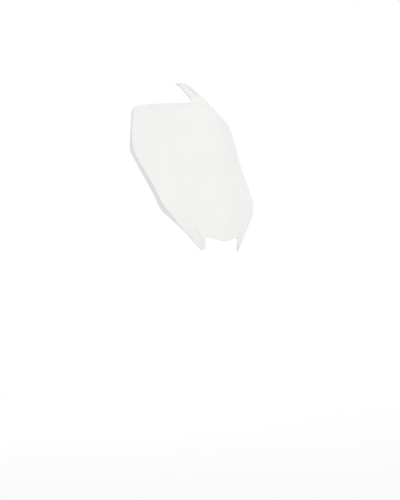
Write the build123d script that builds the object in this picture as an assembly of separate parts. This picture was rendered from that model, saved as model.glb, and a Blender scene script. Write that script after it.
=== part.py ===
from build123d import *

import math
import os

# Front number board of a motocross bike, moulded in one piece. All sizes are in millimetres.
# The face looks along -Y, +Z is up and X = 0 is the plane of symmetry. The origin lies midway
# between the two lower pegs, on the plane that their bosses seat against.

# Sheet
WALL = 2.4
EDGE_CHAMFER = 0.8

# Face: level sections from over the top edge to under the legs. Each has its height, the place
# of its middle, the half width that it is given at, its depth there and the slope of its side.
SPAN_X = 150.0
DEEP_Y = 220.0
CROWN_Z, CROWN_Y, CROWN_HALF, CROWN_DEPTH, CROWN_SLOPE = 225.0, 38.0, 110.0, 71.5, 21.7
BROW_Z, BROW_Y, BROW_HALF, BROW_DEPTH, BROW_SLOPE = 181.0, 17.2, 124.0, 60.5, 34.0
CHEST_Z, CHEST_Y, CHEST_HALF, CHEST_DEPTH, CHEST_SLOPE = 137.0, 6.5, 133.0, 63.5, 38.8
RIB_Z, RIB_Y, RIB_HALF, RIB_DEPTH, RIB_SLOPE = 93.0, -1.9, 128.0, 46.8, 33.3
WAIST_Z, WAIST_Y, WAIST_HALF, WAIST_DEPTH, WAIST_SLOPE = 49.0, -10.2, 118.0, 27.6, 14.1
HIP_Z, HIP_Y, HIP_HALF, HIP_DEPTH, HIP_SLOPE = 5.0, -18.6, 86.0, 23.0, 20.3
FOOT_Z, FOOT_Y, FOOT_HALF, FOOT_DEPTH, FOOT_SLOPE = -39.0, -25.3, 56.0, 7.0, 15.3
FACE_LEAN = 10.8

# Outline seen from the front, right half, from the middle of the top edge to the middle of the tab
TOP_Z = 222.9
TOP_MID_X, TOP_MID_Z, TOP_MID_R = 80.0, 217.0, 200.0
CORNER_X, CORNER_Z, CORNER_R = 110.4, 211.8, 26.0
TEMPLE_X, TEMPLE_Z, TEMPLE_R = 126.7, 167.0, 150.0
SHOULDER_X, SHOULDER_Z, SHOULDER_R = 128.2, 134.5, 50.0
KNEE_X, KNEE_Z, KNEE_R = 111.5, 43.2, 55.0
ANKLE_X, ANKLE_Z, ANKLE_R = 77.0, 5.0, 50.0
LEG_TIP_X, LEG_TIP_Z, LEG_TIP_R = 44.0, -29.0, 1.2
LEG_INNER_X = 41.6
NOTCH_X, NOTCH_Z, NOTCH_R = 38.6, -5.4, 3.0
TAB_Z, TAB_R = -14.3, 30.0

# Return flange: its rear edge seen from the side, from the top corner to the leg
RETURN_TOP_Y, RETURN_TOP_Z = 91.2, 220.0
RETURN_TEMPLE_Y, RETURN_TEMPLE_Z, RETURN_TEMPLE_R = 78.0, 176.0, 120.0
RETURN_SHOULDER_Y, RETURN_SHOULDER_Z, RETURN_SHOULDER_R = 74.0, 133.2, 30.0
RETURN_KNEE_Y, RETURN_KNEE_Z, RETURN_KNEE_R = 28.8, 56.0, 40.0
RETURN_ANKLE_Y, RETURN_ANKLE_Z, RETURN_ANKLE_R = 24.0, 35.0, 30.0
RETURN_END_Y, RETURN_END_Z, RETURN_END_R = 3.8, 5.0, 6.0
RETURN_OPEN_TOP_Z = 205.0
RETURN_OPEN_BOTTOM_Z = 3.0

# Lower pegs, and the flat legs under them
PEG_X = 46.0
PEG_R = 4.0
PEG_LENGTH = 9.0
PEG_CHAMFER = 1.0
BOSS_R = 6.5
LEG_Y = -8.4
LEG_TOE = 12.0
LEG_LEAN = 1.4
LEG_SPACE = 15.0
# Flank between leg and tab, on the leg's plane and from the peg
FLANK_TIP_X, FLANK_TIP_Z = -3.2, -31.0
FLANK_SHIN_X, FLANK_SHIN_Z = 0.0, -19.0
FLANK_NOTCH_X, FLANK_NOTCH_Z = 4.0, -5.0
FLANK_TOP_X, FLANK_TOP_Z = 14.5, 15.0
FLANK_OUTER_X, FLANK_OUTER_Z = 27.0, 3.0
FLANK_DRAFT = 50.0

# Neck with its strap slot. It starts inside the sheet, under the top edge.
NECK_BASE_Y, NECK_BASE_Z, NECK_BASE_LEAN = 33.0, 218.0, 33.0
NECK_BASE_HALF, NECK_BASE_RISE, NECK_BASE_WALL = 25.0, 4.2, 1.9
NECK_Y, NECK_Z, NECK_LEAN = 35.8, 227.0, 42.0
NECK_CURL_R = 140.0
NECK_LENGTH = 57.0
SLOT_START = 13.5
SLOT_LENGTH = 25.0
SLOT_WIDTH = 5.6
# Stations along the neck: half width, rise of the middle over the edges
NECK_ROOT_HALF, NECK_ROOT_RISE = 21.0, 2.8
NECK_WAIST_HALF, NECK_WAIST_RISE = 17.8, 2.8
NECK_NARROW_HALF, NECK_NARROW_RISE = 15.0, 2.2
NECK_TIP_HALF, NECK_TIP_RISE = 14.0, 1.8

SECTIONS = [
    (FOOT_Z, FOOT_Y, FOOT_HALF, FOOT_DEPTH, FOOT_SLOPE),
    (HIP_Z, HIP_Y, HIP_HALF, HIP_DEPTH, HIP_SLOPE),
    (WAIST_Z, WAIST_Y, WAIST_HALF, WAIST_DEPTH, WAIST_SLOPE),
    (RIB_Z, RIB_Y, RIB_HALF, RIB_DEPTH, RIB_SLOPE),
    (CHEST_Z, CHEST_Y, CHEST_HALF, CHEST_DEPTH, CHEST_SLOPE),
    (BROW_Z, BROW_Y, BROW_HALF, BROW_DEPTH, BROW_SLOPE),
    (CROWN_Z, CROWN_Y, CROWN_HALF, CROWN_DEPTH, CROWN_SLOPE),
]
LEVEL_WALL = WALL / math.cos(math.radians(FACE_LEAN))


def arc_radius(half_width, rise):
    """Radius of the arc with the given half width and rise."""
    return (half_width**2 + rise**2) / (2 * rise)


def face_section(height, middle, half_width, depth, slope, inset):
    """Everything behind the face on one level, with the face set in by inset."""
    side = math.radians(slope)
    half = half_width - inset * math.sin(side)
    rise = depth - inset * (1 - math.cos(side))
    front = middle + inset
    fullness = 1 - half * math.tan(side) / (2 * rise)
    square = rise * (1 + fullness)
    fourth = -rise * fullness
    end = front + rise
    span = end + (SPAN_X - half) * math.tan(side)
    arch = Bezier(
        (-half, end),
        (-half / 2, front - fourth),
        (0, front + fourth - square / 3),
        (half / 2, front - fourth),
        (half, end),
    )
    back = Polyline(
        (half, end), (SPAN_X, span), (SPAN_X, DEEP_Y), (-SPAN_X, DEEP_Y), (-SPAN_X, span), (-half, end)
    )
    return Pos(0, 0, height) * make_face([arch, back])


def behind_face(inset):
    """Solid that fills everything behind the face, or behind a face set in by inset."""
    return loft([face_section(*section, inset) for section in SECTIONS])


def outline():
    """Outline of the board without its neck, as a sketch seen from the front."""
    right = [
        ((TOP_MID_X, TOP_MID_Z), TOP_MID_R),
        ((CORNER_X, CORNER_Z), CORNER_R),
        ((TEMPLE_X, TEMPLE_Z), TEMPLE_R),
        ((SHOULDER_X, SHOULDER_Z), SHOULDER_R),
        ((KNEE_X, KNEE_Z), KNEE_R),
        ((ANKLE_X, ANKLE_Z), ANKLE_R),
        ((LEG_TIP_X, LEG_TIP_Z), LEG_TIP_R),
        ((LEG_INNER_X, LEG_TIP_Z), LEG_TIP_R),
        ((NOTCH_X, NOTCH_Z), NOTCH_R),
    ]
    left = [((-x, z), radius) for (x, z), radius in reversed(right)]
    corners = [((0, TOP_Z), 0), *right, ((0, TAB_Z), TAB_R), *left]
    points = [point for point, radius in corners]
    radii = [radius for point, radius in corners]
    return Plane.XZ * make_face(FilletPolyline(*points, radius=radii, close=True))


def through(sketch):
    """Prism of a front-view sketch, right through the board."""
    return extrude(sketch, amount=DEEP_Y, both=True)


def behind_return():
    """Everything behind the rear edge of the return flange."""
    high = TOP_Z + SPAN_X
    low = LEG_TIP_Z - SPAN_X
    edge = FilletPolyline(
        (RETURN_TOP_Y, high),
        (RETURN_TOP_Y, RETURN_TOP_Z),
        (RETURN_TEMPLE_Y, RETURN_TEMPLE_Z),
        (RETURN_SHOULDER_Y, RETURN_SHOULDER_Z),
        (RETURN_KNEE_Y, RETURN_KNEE_Z),
        (RETURN_ANKLE_Y, RETURN_ANKLE_Z),
        (RETURN_END_Y, RETURN_END_Z),
        (RETURN_END_Y, low),
        radius=[0, RETURN_TEMPLE_R, RETURN_SHOULDER_R, RETURN_KNEE_R, RETURN_ANKLE_R, RETURN_END_R],
    )
    close = Polyline(edge @ 1, (DEEP_Y, low), (DEEP_Y, high), edge @ 0)
    return extrude(Plane.YZ * make_face([edge, close]), amount=SPAN_X, both=True)


def leg_space(inset):
    """Space in front of the right leg, or in front of its back face with inset equal to the wall."""
    across = math.tan(math.radians(LEG_TOE))
    back = math.tan(math.radians(LEG_LEAN))
    front = Plane(origin=(PEG_X, LEG_Y, 0), x_dir=(1, across, 0), z_dir=(across, -1, back))
    zone = Polyline(
        (FLANK_TIP_X, FLANK_TIP_Z - SPAN_X),
        (FLANK_TIP_X, FLANK_TIP_Z),
        (FLANK_SHIN_X, FLANK_SHIN_Z),
        (FLANK_NOTCH_X, FLANK_NOTCH_Z),
        (FLANK_TOP_X, FLANK_TOP_Z),
        (FLANK_OUTER_X, FLANK_OUTER_Z),
        (SPAN_X, FLANK_OUTER_Z),
        (SPAN_X, FLANK_TIP_Z - SPAN_X),
        close=True,
    )
    widen = inset * math.tan(math.radians(90 - FLANK_DRAFT) / 2)
    floor = make_face(zone)
    if inset:
        floor = offset(floor, amount=widen, kind=Kind.INTERSECTION)
    return extrude(front * Pos(0, 0, -inset) * floor, amount=LEG_SPACE, taper=-FLANK_DRAFT)


def both_sides(solid):
    """A solid and its mirror image across the plane of symmetry."""
    return [solid, mirror(solid, about=Plane.YZ)]


def shell():
    """Face, return flanges, tab and legs as one sheet."""
    rim = outline()
    inner = offset(rim, amount=-WALL)
    open_top = Plane.XZ * Pos(0, RETURN_OPEN_TOP_Z) * Rectangle(
        2 * SPAN_X, SPAN_X, align=(Align.CENTER, Align.MIN)
    )
    open_foot = Plane.XZ * Pos(0, RETURN_OPEN_BOTTOM_Z) * Rectangle(
        2 * SPAN_X, SPAN_X, align=(Align.CENTER, Align.MAX)
    )
    block = behind_face(0) & through(rim)
    face = block.faces().sort_by(Axis.Y)[0]
    block = chamfer(face.edges(), EDGE_CHAMFER)
    block -= both_sides(leg_space(0))
    hollow = behind_face(LEVEL_WALL) - both_sides(leg_space(WALL))
    hollow &= through(inner + open_top + open_foot)
    return block - behind_return() - hollow


def neck_plane(length):
    """Plane across the neck at a length after its root, with its Y axis towards the back."""
    start = math.radians(NECK_LEAN)
    turn = start + length / NECK_CURL_R
    y = NECK_Y + NECK_CURL_R * (math.cos(start) - math.cos(turn))
    z = NECK_Z + NECK_CURL_R * (math.sin(turn) - math.sin(start))
    return Plane(origin=(0, y, z), x_dir=(1, 0, 0), z_dir=(0, math.sin(turn), math.cos(turn)))


def curved_strip(half_width, rise, wall):
    """Section of a strip bent to an arc, with the middle of its front on the section's origin."""
    radius = arc_radius(half_width, rise)
    inner = radius - wall
    turn = math.asin(half_width / radius)
    back_x = inner * math.sin(turn)
    back_y = radius - inner * math.cos(turn)
    return make_face([
        ThreePointArc((-half_width, rise), (0, 0), (half_width, rise)),
        Line((half_width, rise), (back_x, back_y)),
        ThreePointArc((back_x, back_y), (0, wall), (-back_x, back_y)),
        Line((-back_x, back_y), (-half_width, rise)),
    ])


def neck():
    """Neck that carries on from the top edge, with its strap slot."""
    stations = [
        (0, NECK_ROOT_HALF, NECK_ROOT_RISE),
        (SLOT_START, NECK_WAIST_HALF, NECK_WAIST_RISE),
        (SLOT_START + SLOT_LENGTH, NECK_NARROW_HALF, NECK_NARROW_RISE),
        (NECK_LENGTH, NECK_TIP_HALF, NECK_TIP_RISE),
    ]
    lean = math.radians(NECK_BASE_LEAN)
    base = Plane(
        origin=(0, NECK_BASE_Y, NECK_BASE_Z), x_dir=(1, 0, 0), z_dir=(0, math.sin(lean), math.cos(lean))
    )
    sheet_gap = (WALL - NECK_BASE_WALL) / 2
    sections = [base * Pos(0, sheet_gap) * curved_strip(NECK_BASE_HALF, NECK_BASE_RISE, NECK_BASE_WALL)]
    for length, half_width, rise in stations:
        sections.append(neck_plane(length) * curved_strip(half_width, rise, WALL))
    across = neck_plane(SLOT_START + SLOT_LENGTH / 2)
    along = Plane(origin=across.origin, x_dir=across.z_dir, z_dir=across.y_dir)
    slot = extrude(along * SlotOverall(SLOT_LENGTH, SLOT_WIDTH), amount=NECK_BASE_HALF, both=True)
    return loft(sections) - slot


def peg():
    """Right locating peg on its boss, pointing back."""
    back = Pos(PEG_X, 0, 0) * Rot(-90, 0, 0)
    boss = back * Cylinder(BOSS_R, PEG_X, align=(Align.CENTER, Align.CENTER, Align.MAX))
    boss = (boss & behind_face(LEVEL_WALL / 2)) - leg_space(WALL / 2)
    pin = back * Cylinder(PEG_R, PEG_LENGTH, align=(Align.CENTER, Align.CENTER, Align.MIN))
    pin = chamfer(pin.edges().sort_by(Axis.Y)[-1], PEG_CHAMFER)
    return boss + pin


board = shell() + neck() + both_sides(peg())

os.makedirs("parts", exist_ok=True)
export_step(board, "parts/number_board.step")
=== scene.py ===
import logging
import math
from dataclasses import dataclass, field
from enum import Enum
from typing import Any

import bmesh
import bpy
from mathutils import Matrix, Vector


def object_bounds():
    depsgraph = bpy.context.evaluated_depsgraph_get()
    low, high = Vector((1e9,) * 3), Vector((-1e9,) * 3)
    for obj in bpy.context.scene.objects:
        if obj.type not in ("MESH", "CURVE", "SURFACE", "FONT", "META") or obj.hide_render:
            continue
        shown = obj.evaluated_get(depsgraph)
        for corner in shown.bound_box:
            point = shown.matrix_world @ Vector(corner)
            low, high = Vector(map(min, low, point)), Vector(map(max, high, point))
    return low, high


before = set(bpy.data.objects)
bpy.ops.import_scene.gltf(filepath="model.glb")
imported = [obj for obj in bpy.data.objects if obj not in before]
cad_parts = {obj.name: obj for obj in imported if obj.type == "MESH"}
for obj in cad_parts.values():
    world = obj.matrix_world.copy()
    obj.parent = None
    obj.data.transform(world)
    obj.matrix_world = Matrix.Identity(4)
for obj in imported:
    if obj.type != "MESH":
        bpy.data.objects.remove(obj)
CAD_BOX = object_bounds()

LOG = logging.getLogger("number_board")
MM = 0.001
WHITE = "#FFFFFF"

# Numbers of the mix node's colour sockets, which share their names with its other sockets.
MIX_FIRST = 6
MIX_SECOND = 7
MIX_RESULT = 2

Box = tuple[Vector, Vector]
Colour = tuple[float, float, float, float]
Place = tuple[float, float, float]


class Layer(Enum):
    """What a pattern of the moulded surface stands for."""

    CLOUD = "uneven pigment"
    HANDLING = "patches rubbed by hands and cloths"
    WAVE = "slow waviness of a thin sheet"
    GRAIN = "grain of the mould"


class LampRole(Enum):
    """Jobs of the studio's lamps."""

    KEY = "key"
    FILL = "fill"
    BACK = "back"


def linear(hex_colour: str) -> Colour:
    """Turns an sRGB hex colour into the linear colour that a shader takes.

    Args:
        hex_colour: Six hex digits after a hash.

    Returns:
        Linear red, green and blue, with an alpha of 1.
    """
    parts = [int(hex_colour[i:i + 2], 16) / 255 for i in (1, 3, 5)]
    red, green, blue = (c / 12.92 if c <= 0.04045 else ((c + 0.055) / 1.055) ** 2.4 for c in parts)
    return (red, green, blue, 1.0)


def per_metre(size_mm: float) -> float:
    """Turns the size of a pattern's features in millimetres into a texture scale."""
    return 1.0 / (size_mm * MM)


def middle_of(box: Box) -> Vector:
    """Gives the middle of a box from its lowest and highest corners."""
    low, high = box
    return (low + high) / 2


def add_node(
    tree: bpy.types.NodeTree,
    kind: str,
    settings: dict[str, Any] | None = None,
    inputs: dict[str | int, Any] | None = None,
) -> bpy.types.Node:
    """Adds one shader node, with its settings, its plain values and its links.

    Args:
        tree: Node tree that the node goes into.
        kind: Type name of the node.
        settings: Attributes of the node itself.
        inputs: Values for its input sockets, by name or number. An output socket is linked.

    Returns:
        The new node.
    """
    node = tree.nodes.new(kind)
    for name, value in (settings or {}).items():
        setattr(node, name, value)
    for name, value in (inputs or {}).items():
        if isinstance(value, bpy.types.NodeSocket):
            tree.links.new(value, node.inputs[name])
        else:
            node.inputs[name].default_value = value
    return node


def empty_material(name: str) -> tuple[bpy.types.Material, bpy.types.NodeTree]:
    """Makes a node material with nothing in it.

    Args:
        name: Name of the finish.

    Returns:
        The material and its node tree.
    """
    material = bpy.data.materials.new(name)
    material.use_nodes = True
    material.node_tree.nodes.clear()
    return material, material.node_tree


def seen_rays(tree: bpy.types.NodeTree) -> bpy.types.NodeSocket:
    """Adds nodes that tell the rays which show a surface from those which only light with it.

    Args:
        tree: Node tree of the background paper or of the room.

    Returns:
        Output socket that is 1 for camera, glossy and transmission rays and 0 for the others.
    """
    rays = add_node(tree, "ShaderNodeLightPath")
    seen = rays.outputs["Is Camera Ray"]
    for kind in ("Is Glossy Ray", "Is Transmission Ray"):
        either = add_node(tree, "ShaderNodeMath", {"operation": "MAXIMUM"}, {0: seen, 1: rays.outputs[kind]})
        seen = either.outputs[0]
    return seen


@dataclass(frozen=True)
class Pattern:
    """One pattern of a surface: the size of its features and its number of finer octaves."""

    size_mm: float
    octaves: float


@dataclass(frozen=True)
class Relief:
    """How high a pattern stands, and how much of that height shows as bump."""

    height_mm: float
    share: float


@dataclass(frozen=True)
class MouldedPolypropylene:
    """White polypropylene, injection moulded in a finely blasted mould.

    To the eye it is a satin white: soft broad highlights, a slow waviness where the thin sheet
    sank a little as it cooled, and a fine grain that keeps reflections from being sharp.
    """

    name: str = "white_polypropylene_moulded"
    pale: str = "#F6F6F5"
    deep: str = "#F0F0EE"
    ior: float = 1.49
    smooth_roughness: float = 0.42
    rubbed_roughness: float = 0.56
    # Levels of the handling pattern under which the surface is smooth and over which it is rubbed.
    smooth_below: float = 0.3
    rubbed_above: float = 0.7
    patterns: dict[Layer, Pattern] = field(
        default_factory=lambda: {
            Layer.CLOUD: Pattern(size_mm=55.0, octaves=3.0),
            Layer.HANDLING: Pattern(size_mm=24.0, octaves=5.0),
            Layer.WAVE: Pattern(size_mm=42.0, octaves=1.0),
            # The real grain is about 0.3 mm; it is drawn coarser so that it shows in the render.
            Layer.GRAIN: Pattern(size_mm=1.6, octaves=2.0),
        }
    )
    reliefs: dict[Layer, Relief] = field(
        default_factory=lambda: {
            Layer.WAVE: Relief(height_mm=0.25, share=0.35),
            Layer.GRAIN: Relief(height_mm=0.012, share=0.6),
        }
    )

    def draw_patterns(self, tree: bpy.types.NodeTree) -> dict[Layer, bpy.types.NodeSocket]:
        """Draws every pattern over the piece, from Object coordinates.

        Args:
            tree: Node tree of the material.

        Returns:
            Output socket of each pattern, from 0 to 1.
        """
        where = add_node(tree, "ShaderNodeTexCoord").outputs["Object"]
        drawn = {}
        for layer, pattern in self.patterns.items():
            noise = add_node(
                tree,
                "ShaderNodeTexNoise",
                inputs={"Vector": where, "Scale": per_metre(pattern.size_mm), "Detail": pattern.octaves},
            )
            drawn[layer] = noise.outputs["Fac"]
        return drawn

    def build(self) -> bpy.types.Material:
        """Builds the material: the patterns drive its colour, its gloss and its relief."""
        material, tree = empty_material(self.name)
        drawn = self.draw_patterns(tree)
        colour = add_node(
            tree,
            "ShaderNodeMix",
            {"data_type": "RGBA"},
            {"Factor": drawn[Layer.CLOUD], MIX_FIRST: linear(self.pale), MIX_SECOND: linear(self.deep)},
        )
        roughness = add_node(
            tree,
            "ShaderNodeMapRange",
            inputs={
                "Value": drawn[Layer.HANDLING],
                "From Min": self.smooth_below,
                "From Max": self.rubbed_above,
                "To Min": self.smooth_roughness,
                "To Max": self.rubbed_roughness,
            },
        )
        surface: dict[str, Any] = {}
        for layer, relief in self.reliefs.items():
            bump = add_node(
                tree,
                "ShaderNodeBump",
                inputs={
                    "Strength": relief.share,
                    "Distance": relief.height_mm * MM,
                    "Height": drawn[layer],
                    **surface,
                },
            )
            surface = {"Normal": bump.outputs["Normal"]}
        shader = add_node(
            tree,
            "ShaderNodeBsdfPrincipled",
            inputs={
                "Base Color": colour.outputs[MIX_RESULT],
                "Roughness": roughness.outputs["Result"],
                "IOR": self.ior,
                **surface,
            },
        )
        add_node(tree, "ShaderNodeOutputMaterial", inputs={"Surface": shader.outputs["BSDF"]})
        return material


@dataclass(frozen=True)
class StudioPaper:
    """Matt white background paper on the floor.

    It keeps shadows near the middle and turns into even white further out, so that no edge of the
    floor shows.
    """

    name: str = "background_paper_matt"
    colour: str = "#F6F6F6"
    middle_glow: float = 0.70
    middle_reach: float = 0.6
    white_reach: float = 2.6

    def build(self) -> bpy.types.Material:
        """Builds the paper's material."""
        material, tree = empty_material(self.name)
        where = add_node(tree, "ShaderNodeTexCoord").outputs["Object"]
        reach = add_node(tree, "ShaderNodeVectorMath", {"operation": "LENGTH"}, {0: where})
        glow_share = add_node(
            tree,
            "ShaderNodeMapRange",
            {"interpolation_type": "SMOOTHSTEP"},
            {
                "Value": reach.outputs["Value"],
                "From Min": self.middle_reach,
                "From Max": self.white_reach,
                "To Min": self.middle_glow,
                "To Max": 1.0,
            },
        )
        shown_glow = add_node(
            tree,
            "ShaderNodeMath",
            {"operation": "MULTIPLY"},
            {0: seen_rays(tree), 1: glow_share.outputs["Result"]},
        )
        paper = add_node(tree, "ShaderNodeBsdfDiffuse", inputs={"Color": linear(self.colour)})
        glow = add_node(tree, "ShaderNodeEmission", inputs={"Color": linear(WHITE), "Strength": 1.0})
        mixed = add_node(
            tree,
            "ShaderNodeMixShader",
            inputs={0: shown_glow.outputs[0], 1: paper.outputs[0], 2: glow.outputs[0]},
        )
        add_node(tree, "ShaderNodeOutputMaterial", inputs={"Surface": mixed.outputs[0]})
        return material


@dataclass
class NumberBoard:
    """The board itself: one moulding, shown by its own solid."""

    node: str = "number_board"
    finish: MouldedPolypropylene = field(default_factory=MouldedPolypropylene)

    def dress(self, nodes: dict[str, bpy.types.Object]) -> bpy.types.Object:
        """Gives the moulding its finish.

        Args:
            nodes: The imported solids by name.

        Returns:
            The dressed object.
        """
        board = nodes[self.node]
        board.data.materials.clear()
        board.data.materials.append(self.finish.build())
        return board


@dataclass
class SoftBox:
    """One square soft lamp of the studio."""

    role: LampRole
    place: Place
    side: float
    power: float
    colour: str = WHITE

    def build(self, aim: Vector) -> bpy.types.Object:
        """Builds the lamp, turns it to a point and links it.

        Args:
            aim: Point that the lamp looks at.

        Returns:
            The lamp's object.
        """
        lamp = bpy.data.lights.new(f"soft_box_{self.role.value}", "AREA")
        lamp.shape = "SQUARE"
        lamp.size = self.side
        lamp.energy = self.power
        lamp.color = linear(self.colour)[:3]
        holder = bpy.data.objects.new(lamp.name, lamp)
        holder.location = self.place
        holder.rotation_euler = (aim - Vector(self.place)).to_track_quat("-Z", "Y").to_euler()
        bpy.context.scene.collection.objects.link(holder)
        return holder


@dataclass
class Studio:
    """Pale floor, soft room light and soft lamps."""

    floor_z: float = -0.48
    floor_half: float = 30.0
    room_front: float = 0.895
    room_back: float = 0.10
    # The room's light falls between these shares of the way from the side, 0, to straight behind, 1.
    room_turn: tuple[float, float] = (0.15, 0.8)
    paper: StudioPaper = field(default_factory=StudioPaper)
    lamps: tuple[SoftBox, ...] = (
        SoftBox(LampRole.KEY, place=(1.6, -2.2, 1.6), side=1.4, power=6.0),
        SoftBox(LampRole.FILL, place=(-1.7, -2.2, 1.5), side=1.8, power=10.7),
        SoftBox(LampRole.BACK, place=(1.25, 2.3, 1.1), side=0.8, power=22.0),
    )

    def build_floor(self) -> bpy.types.Object:
        """Builds the floor."""
        mesh = bpy.data.meshes.new("studio_floor")
        shape = bmesh.new()
        bmesh.ops.create_grid(shape, x_segments=1, y_segments=1, size=self.floor_half)
        bmesh.ops.translate(shape, vec=(0.0, 0.0, self.floor_z), verts=shape.verts)
        shape.to_mesh(mesh)
        shape.free()
        mesh.materials.append(self.paper.build())
        floor = bpy.data.objects.new("studio_floor", mesh)
        bpy.context.scene.collection.objects.link(floor)
        return floor

    def build_room(self) -> bpy.types.World:
        """Builds soft room light, weaker from behind, that is white to the eye and in reflections."""
        world = bpy.data.worlds.new("studio_room")
        world.use_nodes = True
        tree = world.node_tree
        tree.nodes.clear()
        way = add_node(tree, "ShaderNodeTexCoord").outputs["Generated"]
        to_back = add_node(tree, "ShaderNodeSeparateXYZ", inputs={0: way}).outputs["Y"]
        turn_start, turn_end = self.room_turn
        room = add_node(
            tree,
            "ShaderNodeMapRange",
            {"interpolation_type": "SMOOTHSTEP"},
            {
                "Value": to_back,
                "From Min": turn_start,
                "From Max": turn_end,
                "To Min": self.room_front,
                "To Max": self.room_back,
            },
        )
        level = add_node(
            tree,
            "ShaderNodeMapRange",
            inputs={"Value": seen_rays(tree), "To Min": room.outputs["Result"], "To Max": 1.0},
        )
        light = add_node(
            tree,
            "ShaderNodeBackground",
            inputs={"Color": linear(WHITE), "Strength": level.outputs["Result"]},
        )
        add_node(tree, "ShaderNodeOutputWorld", inputs={"Surface": light.outputs[0]})
        bpy.context.scene.world = world
        return world

    def build(self) -> None:
        """Builds the whole studio and sets the plain view transform."""
        self.build_floor()
        self.build_room()
        for lamp in self.lamps:
            lamp.build(middle_of(CAD_BOX))
        bpy.context.scene.view_settings.view_transform = "Standard"


@dataclass
class PhotoCamera:
    """Level camera at the photograph's viewing angle, for a frame of 400 by 500 pixels.

    Its level sight line through the aim falls on axis_px, counted from the frame's top left corner.
    """

    azimuth: float = -46.0
    distance: float = 2.4
    aim: Place = (0.0, 0.0345, -0.074)
    focal_px: float = 1416.0
    frame_px: tuple[int, int] = (400, 500)
    axis_px: tuple[float, float] = (201.3, 277.5)
    sensor_mm: float = 36.0
    nearest: float = 0.05
    furthest: float = 60.0

    def build(self) -> bpy.types.Object:
        """Builds the camera, turned so that the level sight line falls on its place in the frame."""
        width, height = self.frame_px
        across, down = self.axis_px
        data = bpy.data.cameras.new("photo_camera")
        data.sensor_fit = "VERTICAL"
        data.sensor_height = self.sensor_mm
        data.lens = self.focal_px * self.sensor_mm / height
        data.clip_start = self.nearest
        data.clip_end = self.furthest
        around = math.radians(self.azimuth)
        back = Vector((math.sin(around), -math.cos(around), 0.0))
        yaw = math.atan2(across - width / 2, self.focal_px)
        pitch = math.atan2(down - height / 2, self.focal_px)
        turn = Matrix.Rotation(around + yaw, 4, "Z") @ Matrix.Rotation(math.pi / 2 + pitch, 4, "X")
        camera = bpy.data.objects.new("photo_camera", data)
        camera.matrix_world = Matrix.Translation(Vector(self.aim) + back * self.distance) @ turn
        bpy.context.scene.collection.objects.link(camera)
        bpy.context.scene.camera = camera
        return camera


def main() -> None:
    """Dresses the board, builds the studio and the camera, and reports each piece."""
    logging.basicConfig(level=logging.INFO, format="%(name)s: %(message)s")
    board = NumberBoard().dress(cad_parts)
    LOG.info("dressed %s with %s", board.name, board.data.materials[0].name)
    Studio().build()
    LOG.info("built the studio")
    camera = PhotoCamera().build()
    LOG.info("built %s", camera.name)


if __name__ == "__main__":
    main()
